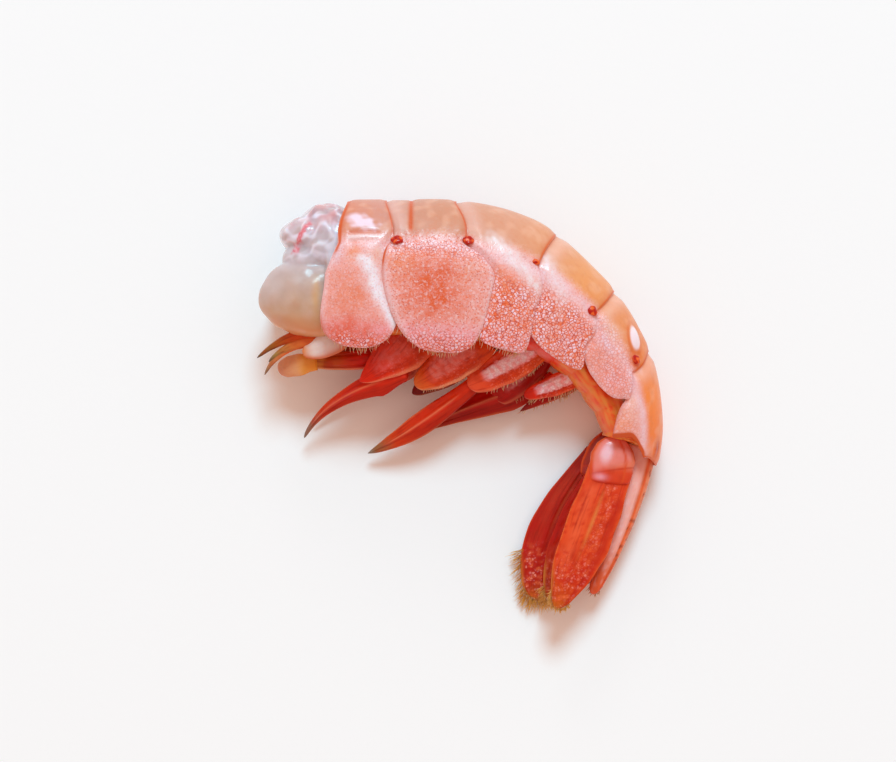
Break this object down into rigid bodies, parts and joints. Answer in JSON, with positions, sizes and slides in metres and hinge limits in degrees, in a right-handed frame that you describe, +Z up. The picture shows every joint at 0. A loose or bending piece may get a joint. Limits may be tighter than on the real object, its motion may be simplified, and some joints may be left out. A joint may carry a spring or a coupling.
{
  "type": "raw spot prawn tail",
  "caption": "Raw headless spot prawn lying on its side, curled, with its lapped shell rings, swimming legs and tail fan, and translucent meat at the cut end.",
  "frame": {"origin": "centre of the bounding box's underside", "axes": "+X from the cut end towards the tail, +Y towards the prawn's back, +Z up from the surface that its right flank lies on"},
  "size_m": [0.0718, 0.0726, 0.0199],
  "materials": {
    "meat": "wet, translucent grey-beige muscle with a pink tinge",
    "shell": "wet, thin, peach-orange shell, paler and mottled pink on the side flaps",
    "legs": "wet, deep red-orange skin with paler plates and fringes of short hairs",
    "tail_fan": "wet red-orange blades, pale pink at their stalks, with yellow-brown fringes"
  },
  "bodies": {
    "root": {"muscle": "meat", "shell_1": "shell", "shell_2": "shell", "shell_3": "shell", "shell_4": "shell", "shell_5": "shell", "shell_6": "shell", "leg_left_1": "legs", "leg_left_2": "legs", "leg_left_3": "legs", "leg_left_4": "legs", "leg_left_5": "legs", "leg_right_1": "legs", "leg_right_2": "legs", "leg_right_3": "legs", "leg_right_4": "legs", "leg_right_5": "legs", "leg_stub": "legs", "telson": "tail_fan", "uropod_left": "tail_fan", "uropod_right": "tail_fan"}
  },
  "joints": []
}
